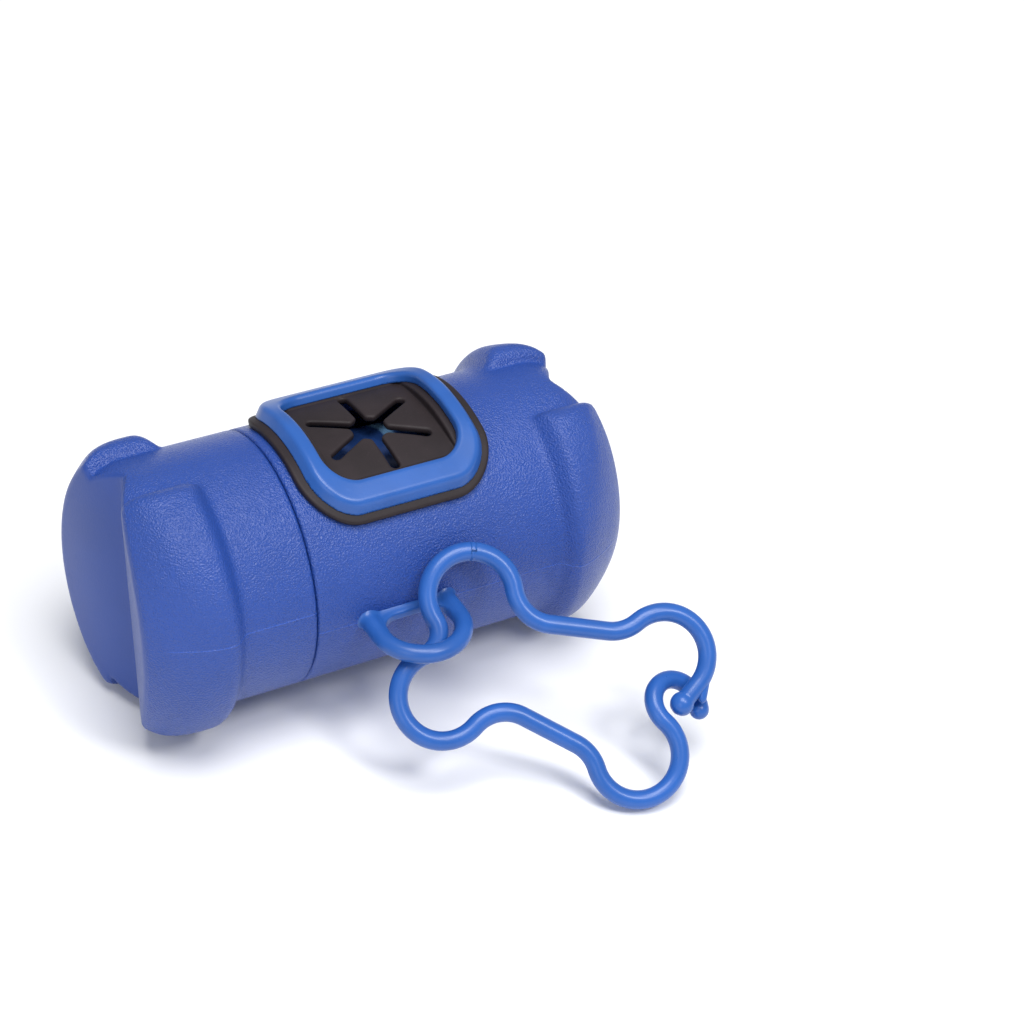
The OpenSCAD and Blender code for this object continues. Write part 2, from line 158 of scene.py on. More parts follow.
def tube_form(x, y, z):
    """The body: bone end, shoulder, screw neck and window."""
    shoulder_round, neck_round, neck_foot_round, window_floor = 0.8, 0.5, 0.4, 9
    r = np.hypot(y, z)
    outer = bone_end(x, y, z, BODY_LEN, BODY_FOOT)
    hollow = smooth_max(outer + WALL, WALL - x, shoulder_round)
    shell = smooth_max(smooth_max(outer, -hollow, INNER_ROUND), -x, RIM_ROUND)
    shell = smooth_max(shell, -np.maximum(r - NECK_BORE_R, x - WALL - 1), CUT_ROUND)
    half_len, half_wall = (WALL + NECK_LEN) / 2, (NECK_R - NECK_BORE_R) / 2
    neck = round_rect(x - WALL + half_len, r - NECK_BORE_R - half_wall, half_len, half_wall, neck_round)
    shell = smooth_min(shell, neck, neck_foot_round)
    half_u, half_v = TRAY_LEN / 2 + TRAY_GAP, TRAY_WID / 2 + TRAY_GAP
    window = np.maximum(round_rect(x - WINDOW_X, y, half_u, half_v, CUT_ROUND), window_floor - z)
    return smooth_max(shell, -window, CUT_ROUND)


def cap_form(x, y, z):
    """The screw cap, turned to where its thread runs out."""
    c, s = math.cos(CAP_TURN), math.sin(CAP_TURN)
    x, y, z = -x, y * c - z * s, y * s + z * c
    outer = bone_end(x, y, z, CAP_LEN, CAP_FOOT)
    return smooth_max(smooth_max(outer, -outer - WALL, INNER_ROUND), SEAM - x, RIM_ROUND)


def window_outline(x, y, z, length, half_angle, corner):
    """Distance to a round-cornered patch of the tube's wall, over the window."""
    r = np.hypot(y, z)
    v = SHEET_R * y / np.maximum(r, 1e-6)
    return round_rect(x - WINDOW_X, v, length / 2, SHEET_R * math.sin(half_angle), corner)


def bezel_form(x, y, z):
    """The ring round the star: a sloping outer side, a crowned top and a rolled inner edge."""
    crest_round, inner_round, seat_round, crown_reach, overshoot = 0.55, 0.7, 0.2, 3, 1.2
    r = np.hypot(y, z)
    height = (r - SHEET_R) / (BEZEL_R - SHEET_R)
    outside = window_outline(x, y, z, BEZEL_LEN, BEZEL_HALF_ANGLE, BEZEL_CORNER)
    opening = window_outline(x, y, z, OPENING_LEN, OPENING_HALF_ANGLE, OPENING_CORNER)
    crown = BEZEL_CROWN * np.clip(-outside - BEZEL_SLOPE, 0, crown_reach)
    slope = outside + BEZEL_SLOPE * np.clip(height, 0, overshoot)
    ring = smooth_max(slope, r - BEZEL_R + crown, crest_round)
    ring = smooth_max(ring, -opening, inner_round)
    ring = smooth_max(ring, SHEET_R - r, seat_round)
    return np.where(z > 0, ring, FAR)


def slot_distance(x, y):
    """Distance to the star's hole and slots, in plan."""
    hole_round = 0.5
    u, v = x - WINDOW_X, y
    d = np.hypot(u, v) - STAR_HOLE_R
    for k in range(FLAPS):
        turn = math.radians(30 + 60 * k)
        c, s = math.cos(turn), math.sin(turn)
        along = np.clip(u * c + v * s, 0, SLOT_REACH - SLOT_HALF)
        d = smooth_min(d, np.hypot(u - along * c, v - along * s) - SLOT_HALF, hole_round)
    return d


def rubber_form(x, y, z):
    """The rubber sheet under the bezel, its sunken tray and the slotted membrane."""
    margin_round, corner_round, room_corner, room_round, slot_round = 0.4, 0.3, 0.6, 0.35, 0.45
    r = np.hypot(y, z)
    bow = np.hypot(y, z - MEMBRANE_Z) - MEMBRANE_R
    length, half_angle = BEZEL_LEN + 2 * SHEET_MARGIN, BEZEL_HALF_ANGLE + SHEET_MARGIN / SHEET_R
    sheet = window_outline(x, y, z, length, half_angle, BEZEL_CORNER + SHEET_MARGIN)
    sheet = smooth_max(sheet, np.abs(r - (TUBE_R + SHEET_T / 2)) - SHEET_T / 2, margin_round)
    half_u, half_v = TRAY_LEN / 2, TRAY_WID / 2
    tray = round_rect(x - WINDOW_X, y, half_u, half_v, corner_round)
    tray = np.maximum(tray, np.maximum(r - SHEET_R + TRAY_GAP, -bow - SHEET_T))
    room = round_rect(x - WINDOW_X, y, half_u - TRAY_WALL, half_v - TRAY_WALL, room_corner)
    room = np.maximum(room, -bow)
    form = smooth_max(smooth_min(sheet, tray, corner_round), -room, room_round)
    form = smooth_max(form, -slot_distance(x, y), slot_round)
    return np.where(z > 0, form, FAR)


def lug_form(x, y, z):
    """The D-shaped lug, drawn from its eye's centre, with a thin web that rounds the eye's corners."""
    web_round, web_foot_round, seat_round, seat_depth = 0.4, 0.6, 1.3, 0.25
    eye_back, eye_half, root = 3.0, 6.0, 0.3
    off = np.abs(x) - LUG_BOW_R
    bar = np.hypot(np.where(y < 0, np.hypot(x, y) - LUG_BOW_R, off), z) - ROD_R
    eye = round_rect(x, y + eye_back, LUG_BOW_R - 1, eye_half, LUG_EYE_CORNER)
    web = smooth_max(np.abs(z) - LUG_WEB_T / 2, np.maximum(np.maximum(off, -y), -eye), web_round)
    bar = smooth_min(bar, web, web_foot_round)
    tube = np.hypot(y - LUG_OUT, z) - TUBE_R
    return np.maximum(smooth_min(bar, tube + root, seat_round), -tube - seat_depth)


def surface_net(form, low, high, step):
    """A closed, evenly meshed surface where form is zero, as points and four-sided faces."""
    low, high = np.array(low, float), np.array(high, float)
    n = np.ceil((high - low) / step).astype(int) + 1
    axes = [low[i] + step * np.arange(n[i]) for i in range(3)]
    value = form(*np.meshgrid(*axes, indexing="ij"))
    inside = value < 0
    cells = tuple(n - 1)
    total, weight = np.zeros(cells + (3,), np.float32), np.zeros(cells, np.float32)
    faces = []
    node = np.stack(np.meshgrid(*axes, indexing="ij"), -1).astype(np.float32)

    def part(array, starts, sizes):
        return array[tuple(slice(s, s + k) for s, k in zip(starts, sizes))]

    crossings = []
    for axis in range(3):
        sizes = n.copy()
        sizes[axis] -= 1
        ahead = np.zeros(3, int)
        ahead[axis] = 1
        a, b = part(value, (0, 0, 0), sizes), part(value, ahead, sizes)
        cross = (a < 0) != (b < 0)
        where = np.argwhere(cross)
        t = a[cross] / (a[cross] - b[cross])
        point = node[tuple(where.T)].astype(float)
        point[:, axis] += t * step
        others = [(axis + 1) % 3, (axis + 2) % 3]
        around = []
        for db, dc in ((-1, -1), (0, -1), (0, 0), (-1, 0)):
            cell = where.copy()
            cell[:, others[0]] += db
            cell[:, others[1]] += dc
            around.append(cell)
            np.add.at(total, tuple(cell.T), point)
            np.add.at(weight, tuple(cell.T), 1)
        crossings.append((around, a[cross] < 0))
    number = np.full(cells, -1)
    used = weight > 0
    number[used] = np.arange(used.sum())
    points = (total[used] / weight[used][:, None]).astype(float)
    for around, outward in crossings:
        quad = np.stack([number[tuple(c.T)] for c in around], 1)
        quad[~outward] = quad[~outward][:, ::-1]
        faces.append(quad)
    faces = np.concatenate(faces)
    # Two steps along the slope bring every point onto the true surface
    nudge, least_slope = 0.02, 0.2
    for _ in range(2):
        d = form(*points.T)
        slope = [form(*(points + e).T) - form(*(points - e).T) for e in np.eye(3) * nudge]
        slope = np.stack(slope, 1) / (2 * nudge)
        steep = np.maximum((slope**2).sum(1), least_slope)
        points -= np.clip(d / steep, -step / 2, step / 2)[:, None] * slope
    return points, faces


def piece(name, points, faces, material, shift=RIM):
    """A mesh object from points in millimetres."""
    mesh = bpy.data.meshes.new(name)
    places = ((np.asarray(points) + shift) * MM).tolist()
    mesh.from_pydata(places, [], [list(map(int, f)) for f in faces])
    mesh.validate()
    mesh.shade_smooth()
    mesh.materials.append(material)
    made = bpy.data.objects.new(name, mesh)
    bpy.context.scene.collection.objects.link(made)
    if not len(mesh.polygons):
        raise RuntimeError(name + " came out empty")
    return made


def moulded(name, form, low, high, step, material, shift=RIM):
    """A piece from a form, with its facing checked."""
    points, faces = surface_net(form, low, high, step)
    made = piece(name, points, faces, material, shift)
    tidy(made)
    return made


def tidy(made):
    """Merges doubles and points every face outwards."""
    shape = bmesh.new()
    shape.from_mesh(made.data)
    bmesh.ops.remove_doubles(shape, verts=shape.verts, dist=1e-7)
    bmesh.ops.recalc_face_normals(shape, faces=shape.faces)
    shape.to_mesh(made.data)
    shape.free()


def lathe(profile, steps=160):
    """Points and faces of a closed profile of (x, radius) that is turned about the tube's axis."""
    profile = np.array(profile, float)
    turn = np.linspace(0, 2 * math.pi, steps, endpoint=False)
    x = np.repeat(profile[None, :, 0], steps, 0)
    r = profile[None, :, 1]
    points = np.stack([x, r * np.cos(turn)[:, None], r * np.sin(turn)[:, None]], -1)
    m = len(profile)
    faces = [
        (i * m + j, i * m + (j + 1) % m, (i + 1) % steps * m + (j + 1) % m, (i + 1) % steps * m + j)
        for i in range(steps)
        for j in range(m)
    ]
    return points.reshape(-1, 3), faces


def swept(path, radius, sides=26):
    """A rod along a path, with a faint moulding line on both sides. Its radius may change on the way."""
    line_height, line_width = 0.02, 4.5
    path = np.array(path, float)
    radius = np.broadcast_to(np.asarray(radius, float), len(path))
    tangent = np.gradient(path, axis=0)
    tangent /= np.linalg.norm(tangent, axis=1)[:, None]
    up = np.array((0.0, 0.0, 1.0))
    beside_lines = [centre + np.radians((-7, -3.5, 3.5, 7)) for centre in (0, math.pi)]
    angles = np.sort(np.concatenate([np.linspace(0, 2 * math.pi, sides, endpoint=False), *beside_lines]))
    off_line = np.degrees(np.minimum(np.abs(np.sin(angles)), 1))
    ridge = 1 + line_height * np.exp(-((off_line / line_width) ** 2))
    points, faces = [], []
    for i, (p, t) in enumerate(zip(path, tangent)):
        up = up - t * (up @ t)
        up /= np.linalg.norm(up)
        side = np.cross(t, up)
        round_the_rod = np.cos(angles)[:, None] * side + np.sin(angles)[:, None] * up
        points.extend(p + radius[i] * ridge[:, None] * round_the_rod)
    m = len(angles)
    for i in range(len(path) - 1):
        for j in range(m):
            k = (j + 1) % m
            faces.append((i * m + j, i * m + k, (i + 1) * m + k, (i + 1) * m + j))
    faces.append(tuple(range(m))[::-1])
    faces.append(tuple(range((len(path) - 1) * m, len(path) * m)))
    return np.array(points), faces


def arc(centre, r, start, end, step=4.0):
    """Points of a bend in the clip's plane, between two angles in degrees."""
    count = max(2, int(abs(end - start) / step) + 1)
    turn = np.radians(np.linspace(start, end, count))
    return np.stack([centre[0] + r * np.cos(turn), centre[1] + r * np.sin(turn), 0 * turn], 1)


def joined(*stretches):
    """One path from several, without the points that two share."""
    least_gap = 0.05
    path = [stretches[0][0]]
    for stretch in stretches:
        for p in stretch:
            if np.linalg.norm(np.subtract(p, path[-1])) > least_gap:
                path.append(p)
    return np.array(path)


# ---------------------------------------------------------------- materials


def add_node(tree, kind, settings, values):
    """Adds a node to a tree. Its settings are put in first, then the values or links of its sockets."""
    made = tree.nodes.new(kind)
    for key, value in settings.items():
        setattr(made, key, value)
    for key, value in values.items():
        if isinstance(value, bpy.types.NodeSocket):
            tree.links.new(value, made.inputs[key])
        else:
            made.inputs[key].default_value = value
    return made


class Wire:
    """A shader value that Python's operators work on."""

    def __init__(self, paint, socket):
        self.paint, self.socket = paint, socket

    def maths(self, operation, *others):
        return self.paint.node("ShaderNodeMath", {"operation": operation}, dict(enumerate(others)))

    def __add__(self, other):
        return self.maths("ADD", self, other)

    def __sub__(self, other):
        return self.maths("SUBTRACT", self, other)

    def __mul__(self, other):
        return self.maths("MULTIPLY", self, other)

    def __truediv__(self, other):
        return self.maths("DIVIDE", self, other)

    def __rsub__(self, other):
        return self.maths("SUBTRACT", other, self)

    __radd__ = __add__
    __rmul__ = __mul__

    def root(self):
        return self.maths("SQRT", self)

    def sine(self):
        return self.maths("SINE", self)

    def growth(self):
        """e to the power of the value."""
        return self.maths("EXPONENT", self)

    def angle_over(self, other):
        """The angle of the point whose height is this value and whose other coordinate is the given one."""
        return self.maths("ARCTAN2", self, other)

    def size(self):
        return self.maths("ABSOLUTE", self)

    def fade(self, start, end):
        """0 at start and 1 at end, eased."""
        return self.paint.node(
            "ShaderNodeMapRange",
            {"interpolation_type": "SMOOTHSTEP"},
            {"Value": self, "From Min": start, "From Max": end, "To Min": 0.0, "To Max": 1.0},
        )


class Paint:
    """A material that is put together node by node."""

    def __init__(self, name, **constants):
        self.material = bpy.data.materials.new(name)
        self.material.use_nodes = True
        self.tree = self.material.node_tree
        self.shader = next(n for n in self.tree.nodes if n.type == "BSDF_PRINCIPLED")
        for socket, value in constants.items():
            self.shader.inputs[socket.replace("_", " ")].default_value = value
        self.place = self.node("ShaderNodeTexCoord", {}, {}, "Object")

    def node(self, kind, settings, values, output=0):
        """Adds a node and gives back one of its outputs."""
        values = {key: value.socket if isinstance(value, Wire) else value for key, value in values.items()}
        return Wire(self, add_node(self.tree, kind, settings, values).outputs[output])

    def axes(self):
        """The x, y and z of the point that is shaded, in millimetres from the rim's centre."""
        parts = self.node("ShaderNodeSeparateXYZ", {}, {0: self.place}).socket.node
        return [Wire(self, parts.outputs[i]) * (1 / MM) - float(RIM[i]) for i in range(3)]

    def noise(self, scale, detail=3.0, roughness=0.55, seed=0.0):
        """Noise about a mean of 0.5. scale is in features per metre."""
        return self.node(
            "ShaderNodeTexNoise",
            {"noise_dimensions": "4D"},
            {"Vector": self.place, "W": seed, "Scale": scale, "Detail": detail, "Roughness": roughness},
        )

    def fibres(self, scale, stretch):
        """Noise that is drawn out along the axes whose stretch is small."""
        place = self.node("ShaderNodeMapping", {}, {"Vector": self.place, "Scale": stretch})
        return self.node("ShaderNodeTexNoise", {}, {"Vector": place, "Scale": scale, "Detail": 4.0})

    def cells(self, scale, feature="F1", smooth=0.3):
        """Distance from the centres of scattered cells. scale is in cells per metre."""
        values = {"Vector": self.place, "Scale": scale}
        if feature == "SMOOTH_F1":
            values["Smoothness"] = smooth
        return self.node("ShaderNodeTexVoronoi", {"feature": feature}, values, "Distance")

    def blend(self, factor, first, second):
        """Mixes two colours."""
        first, second = [(*c, 1) if isinstance(c, tuple) else c for c in (first, second)]
        return self.node("ShaderNodeMix", {"data_type": "RGBA"}, {0: factor, 6: first, 7: second}, 2)

    def tones(self, factor, colour, dark, light):
        """A colour that drifts between a dark and a light tone of itself."""
        return self.blend(factor, shade(colour, dark), shade(colour, light))

    def bump(self, height, distance, strength=1.0, under=None):
        """Relief of a height in millimetres, on top of another relief if one is given."""
        values = {"Height": height, "Distance": distance * MM, "Strength": strength}
        if under is not None:
            values["Normal"] = under
        return self.node("ShaderNodeBump", {}, values)

    def wear(self, **sockets):
        """Links what changes over the surface to the shader."""
        for name, value in sockets.items():
            self.tree.links.new(value.socket, self.shader.inputs[name.replace("_", " ")])
        return self.material


def linear(colour):
    """A colour as screens show it, turned into the light that it reflects."""
    return tuple(c / 12.92 if c <= 0.04045 else ((c + 0.055) / 1.055) ** 2.4 for c in colour)


def shade(colour, factor):
    """A darker or lighter tone of a colour."""
    return tuple(min(1.0, c * factor) for c in colour)


PLASTIC_IOR = 1.46
# The film's pattern repeats along the roll, and the cardboard is wound in a slanting strip
FILM_BAND, BOARD_STRIP = 11.6, 14.0
CREASE_LIGHT = (0.2, 0.42, 0.66)


def shell_plastic(name, colour, end, turn):
    """Moulded plastic with a fine grain, smooth in the notch, and a parting line round its middle, whose
    colour is lightened as a painted highlight.
    """
    paint = Paint(name, IOR=PLASTIC_IOR, Specular_IOR_Level=0.5)
    x, y, z = paint.axes()
    c, s = math.cos(turn), math.sin(turn)
    front = y * c - z * s
    level = y * s + z * c
    reach = (front * front + 1.0).root()
    shrink = ((1.0 - reach) / NOTCH_BEND).growth()
    face = abs(end) - NOTCH_DEPTH + NOTCH_RISE * (1.0 - shrink)
    grained = (face - x * math.copysign(1, end)).fade(0.15, 0.6)
    outside = (y * y + z * z).root().fade(TUBE_R - WALL, TUBE_R - 0.6)
    pebbles = paint.cells(3500.0, "SMOOTH_F1", 0.3)
    fine = paint.noise(6000.0, 2.0, 0.6, 1.0)
    broad = paint.noise(60.0, 3.0, 0.5, 2.0)
    grain = (pebbles * 0.75 + fine * 0.5) * (grained * 0.85 + 0.15)
    line = (1.0 - level.size().fade(0.02, 0.2)) * outside
    skin = paint.bump(grain, 0.16, 1.0)
    skin = paint.bump(line, 0.12, 0.8, skin)
    rubbed = paint.noise(900.0, 4.0, 0.65, 3.0).fade(0.56, 0.75)
    tone = paint.tones(broad.fade(0.3, 0.7), colour, 0.94, 1.07)
    tone = paint.blend(pebbles.fade(0.1, 0.6) * 0.22 * grained, tone, shade(colour, 1.45))
    # Painted highlight: the parting line's colour is made twice as light, for the light that its ridge
    # catches.
    tone = paint.blend(line * 0.5, tone, shade(colour, 2.0))
    rough = 0.23 + fine * 0.12 + rubbed * 0.08 + (1.0 - grained) * 0.1
    return paint.wear(Base_Color=tone, Roughness=rough, Normal=skin)


def trim_plastic(name, colour, gloss):
    """Smooth plastic with faint flow marks and fine scratches."""
    paint = Paint(name, IOR=PLASTIC_IOR, Specular_IOR_Level=0.5)
    flow = paint.noise(140.0, 3.0, 0.5, 4.0)
    fine = paint.noise(3000.0, 3.0, 0.6, 5.0)
    scuff = paint.noise(700.0, 5.0, 0.7, 6.0).fade(0.58, 0.72)
    tone = paint.tones(flow.fade(0.3, 0.7), colour, 0.93, 1.08)
    tone = paint.blend(scuff * 0.12, tone, shade(colour, 1.5))
    skin = paint.bump(fine * 0.6 + flow * 0.4, 0.02, 0.5)
    return paint.wear(Base_Color=tone, Roughness=gloss + fine * 0.1 + scuff * 0.12, Normal=skin)


def star_rubber(name, colour):
    """Matte rubber with a fine tooth and a trace of dust."""
    paint = Paint(name, IOR=1.5, Specular_IOR_Level=0.3)
    tooth = paint.noise(4200.0, 3.0, 0.6, 7.0)
    broad = paint.noise(160.0, 4.0, 0.55, 8.0)
    specks = paint.cells(900.0).fade(0.16, 0.06)
    tone = paint.tones(broad.fade(0.3, 0.75), colour, 0.85, 1.25)
    tone = paint.blend(specks * 0.18, tone, shade(colour, 2.6))
    skin = paint.bump(tooth, 0.03, 0.7)
    return paint.wear(Base_Color=tone, Roughness=0.5 + tooth * 0.16 - specks * 0.05, Normal=skin)


def bag_film(name, colour):
    """Thin film, wound flat: glossy, with pressed ripples, darker bands and light creases round the roll."""
    paint = Paint(name, IOR=1.5, Specular_IOR_Level=0.5)
    x = paint.axes()[0]
    ripple = paint.fibres(900.0, (1.0, 0.25, 0.25))
    band = ((x - ROLL_X) * (2 * math.pi / FILM_BAND) + ripple * 0.8).sine()
    crease = band.fade(0.82, 0.99)
    dark = band.fade(-0.2, -0.95)
    tone = paint.blend(dark * 0.7, colour, shade(colour, 0.55))
    tone = paint.blend(crease * 0.6, tone, CREASE_LIGHT)
    skin = paint.bump(ripple + crease * 0.5, 0.12, 0.6)
    return paint.wear(Base_Color=tone, Roughness=0.22 + ripple * 0.18, Normal=skin)


def wound_edge(name, colour):
    """The edges of the film's turns, at the roll's ends."""
    paint = Paint(name, IOR=1.5)
    flecks = paint.noise(2600.0, 3.0, 0.6, 9.0)
    tone = paint.tones(flecks.fade(0.35, 0.7), colour, 0.8, 1.5)
    return paint.wear(Base_Color=tone, Roughness=0.35 + flecks * 0.2)


def wound_board(name, colour):
    """Brown cardboard, wound on a slant, with fibres along it."""
    paint = Paint(name, IOR=1.45, Specular_IOR_Level=0.25)
    x, y, z = paint.axes()
    fibre = paint.fibres(4000.0, (0.2, 1.0, 1.0))
    blotch = paint.noise(400.0, 4.0, 0.6, 10.0)
    seam = ((x * (2 * math.pi / BOARD_STRIP) + z.angle_over(y)) * 0.5).sine().size().fade(0.06, 0.0)
    tone = paint.tones(fibre.fade(0.3, 0.7), colour, 0.75, 1.25)
    tone = paint.blend(blotch.fade(0.5, 0.8) * 0.4, tone, shade(colour, 0.6))
    tone = paint.blend(seam * 0.7, tone, shade(colour, 0.35))
    skin = paint.bump(fibre - seam, 0.05, 0.8)
    return paint.wear(Base_Color=tone, Roughness=0.75 + fibre * 0.15, Normal=skin)


# ---------------------------------------------------------------- repeats


def ridge_tree():
    """Geometry nodes that lay a round bead along a spiral on the tube's axis.

    It makes a screw thread, or the turns of film that show at a roll's end.
    """
    tree = bpy.data.node_groups.new("SpiralBead", "GeometryNodeTree")
    face = tree.interface
    face.new_socket("Geometry", in_out="OUTPUT", socket_type="NodeSocketGeometry")
    inputs = {
        "Float": ("Turns", "Start Radius", "End Radius", "Length", "Bead Radius"),
        "Int": ("Points per Turn",),
        "Vector": ("Start", "Turned"),
        "Material": ("Material",),
    }
    for kind, labels in inputs.items():
        for label in labels:
            face.new_socket(label, in_out="INPUT", socket_type="NodeSocket" + kind)

    def node(kind, settings, values):
        return add_node(tree, kind, settings, values).outputs[0]

    given = tree.nodes.new("NodeGroupInput").outputs
    coil = node(
        "GeometryNodeCurveSpiral",
        {},
        {
            "Resolution": given["Points per Turn"],
            "Rotations": given["Turns"],
            "Start Radius": given["Start Radius"],
            "End Radius": given["End Radius"],
            "Height": given["Length"],
        },
    )
    bead = {"Resolution": 6, "Radius": given["Bead Radius"]}
    bead = node("GeometryNodeCurvePrimitiveCircle", {"mode": "RADIUS"}, bead)
    solid = node("GeometryNodeCurveToMesh", {}, {"Curve": coil, "Profile Curve": bead, "Fill Caps": True})
    moved = {"Geometry": solid, "Translation": given["Start"], "Rotation": given["Turned"]}
    laid = node("GeometryNodeTransform", {}, moved)
    smooth = node("GeometryNodeSetShadeSmooth", {}, {"Geometry": laid})
    whole = node("GeometryNodeRealizeInstances", {}, {"Geometry": smooth})
    finished = node("GeometryNodeSetMaterial", {}, {"Geometry": whole, "Material": given["Material"]})
    out = tree.nodes.new("NodeGroupOutput")
    tree.links.new(finished, out.inputs[0])
    return tree


def spiral(name, material, turns, start_r, end_r, length, bead_r, per_turn, start, phase=0.0):
    """A plain mesh of a bead on a spiral round the tube. Sizes are in millimetres, and phase in degrees."""
    tree = bpy.data.node_groups.get("SpiralBead") or ridge_tree()
    made = bpy.data.objects.new(name, bpy.data.meshes.new(name))
    bpy.context.scene.collection.objects.link(made)
    modifier = made.modifiers.new("Bead", "NODES")
    modifier.node_group = tree
    values = {
        "Turns": float(turns),
        "Start Radius": start_r * MM,
        "End Radius": end_r * MM,
        "Length": length * MM,
        "Bead Radius": bead_r * MM,
        "Points per Turn": int(per_turn),
        "Start": tuple((np.array(start) + RIM) * MM),
        "Turned": (math.radians(phase), math.radians(90.0), 0.0),
        "Material": material,
    }
    for item in tree.interface.items_tree:
        if item.in_out == "INPUT":
            modifier[item.identifier] = values[item.name]
    bpy.context.view_layer.update()
    evaluated = made.evaluated_get(bpy.context.evaluated_depsgraph_get())
    mesh = bpy.data.meshes.new_from_object(evaluated)
    made.modifiers.remove(modifier)
    made.data = mesh
    if not len(mesh.polygons):
        raise RuntimeError(name + " came out empty")
    tidy(made)
    made.data.shade_smooth()
    return made


# ---------------------------------------------------------------- settings


def colour_setting(name, description, start):
    """A colour that a user can change."""
    return FloatVectorProperty(
        name=name, description=description, subtype="COLOR", size=3, min=0, max=1, default=start
    )


def size_setting(name, description, start, least, most):
    """A size that a user can change."""
    return FloatProperty(name=name, description=description, default=start, min=least, max=most)


def angle_setting(name, description, degrees):
    """An angle that a user can change."""
    start = math.radians(degrees)
    return FloatProperty(name=name, description=description, subtype="ANGLE", default=start)


class ShellSettings(bpy.types.PropertyGroup):
    colour: colour_setting("Colour", "Colour of the two grained shells", linear((0.145, 0.268, 0.565)))
    step: size_setting("Mesh step", "Distance between the shells' mesh points, in millimetres", 0.45, 0.3, 2)


class ThreadSettings(bpy.types.PropertyGroup):
    pitch: size_setting("Pitch", "Distance between two turns of the thread, in millimetres", 3, 1.5, 5)
    bead: size_setting("Ridge radius", "Radius of the thread's rounded ridge, in millimetres", 0.55, 0.2, 0.8)


class TrimSettings(bpy.types.PropertyGroup):
    colour: colour_setting("Colour", "Colour of the bezel, the lug and the clip", linear((0.15, 0.34, 0.63)))
    roughness: FloatProperty(
        name="Roughness",
        description="Roughness of the smooth plastic",
        subtype="FACTOR",
        default=0.27,
        min=0,
        max=1,
    )
    rod: size_setting("Rod radius", "Radius of the clip's rod, in millimetres", ROD_R, 1, 1.5)


class RubberSettings(bpy.types.PropertyGroup):
    colour: colour_setting("Colour", "Colour of the rubber sheet", linear((0.15, 0.12, 0.13)))
    step: size_setting("Mesh step", "Distance between the rubber's mesh points, in millimetres", 0.2, 0.15, 1)


class RollSettings(bpy.types.PropertyGroup):
    # Partly painted shade: the film's blue is set darker than the bags' own, so that the roll inside reads
    # dark through the star's hole.
    film: colour_setting("Film", "Colour of the bags' film", linear((0.105, 0.21, 0.41)))
    board: colour_setting("Cardboard", "Colour of the core's cardboard", linear((0.55, 0.45, 0.31)))
    turns: IntProperty(
        name="Turns shown",
        description="Turns of film that show at the roll's ends",
        default=22,
        min=5,
        max=60,
    )


class StageSettings(bpy.types.PropertyGroup):
    floor: colour_setting("Floor", "Colour of the floor", (0.93, 0.93, 0.94))
    camera: FloatVectorProperty(
        name="Camera",
        description="Where the camera stands",
        subtype="TRANSLATION",
        size=3,
        default=(-0.147622, -0.251797, 0.248612),
    )
    azimuth: angle_setting("Azimuth", "Direction that the camera looks in, about the vertical", -32.617)
    elevation: angle_setting("Elevation", "Height of the camera above the horizon, as an angle", 37.864)
    roll: angle_setting("Roll", "Turn of the camera about its own line of sight", 5.593)
    focal: FloatProperty(
        name="Focal length",
        description="Focal length of the lens, in millimetres",
        default=94.92,
    )


SETTINGS = {
    "dispenser_shell": ShellSettings,
    "dispenser_thread": ThreadSettings,
    "dispenser_trim": TrimSettings,
    "dispenser_rubber": RubberSettings,
    "dispenser_roll": RollSettings,
    "dispenser_stage": StageSettings,
}


# ---------------------------------------------------------------- operators


class DISPENSER_OT_shells(bpy.types.Operator):
    """Moulds the body and the screw cap, with soft edges and a grained skin"""

    bl_idname = "dispenser.shells"
    bl_label = "Shells"
    # Half the width and height of the room that both shells are drawn in
    ROOM = 22.3

    def execute(self, context):
        given = context.scene.dispenser_shell
        colour = tuple(given.colour)
        body_skin = shell_plastic("GrainedBody", colour, BODY_LEN, 0.0)
        cap_skin = shell_plastic("GrainedCap", colour, -CAP_LEN, CAP_TURN)
        low, high = (-9.9, -self.ROOM, -self.ROOM), (54.4, self.ROOM, self.ROOM)
        body = moulded("tube_body", tube_form, low, high, given.step, body_skin)
        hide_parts("body_shell")
        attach(body, "body")
        low, high = (-26.9, -self.ROOM, -self.ROOM), (0.6, self.ROOM, self.ROOM)
        cap = moulded("screw_cap", cap_form, low, high, given.step, cap_skin)
        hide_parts("cap_shell")
        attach(cap, "cap")
        return {"FINISHED"}


class DISPENSER_OT_threads(bpy.types.Operator):
    """Lays the screw thread round the neck and inside the cap"""

    bl_idname = "dispenser.threads"
    bl_label = "Threads"
    # Height of the thread's ridge over the neck and the cap's wall, and the points on each of its turns
    RISE, POINTS = 0.36, 96
    # How much shorter the thread is than the neck, and where each one starts from the neck's end
    SHORTER, NECK_START, CAP_START = 3.0, 1.6, 0.4

    def execute(self, context):
        given = context.scene.dispenser_thread
        pitch, bead = given.pitch, given.bead
        length = NECK_LEN - self.SHORTER
        turns = length / pitch
        outer, inner = NECK_R + self.RISE - bead, TUBE_R - WALL - self.RISE + bead
        body, cap = bpy.data.materials["GrainedBody"], bpy.data.materials["GrainedCap"]
        start = (-NECK_LEN + self.NECK_START, 0, 0)
        neck_thread = spiral("neck_thread", body, turns, outer, outer, length, bead, self.POINTS, start)
        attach(neck_thread, "body")
        start = (-NECK_LEN + self.CAP_START, 0, 0)
        cap_thread = spiral("cap_thread", cap, turns, inner, inner, length, bead, self.POINTS, start, 180.0)
        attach(cap_thread, "cap")
        return {"FINISHED"}


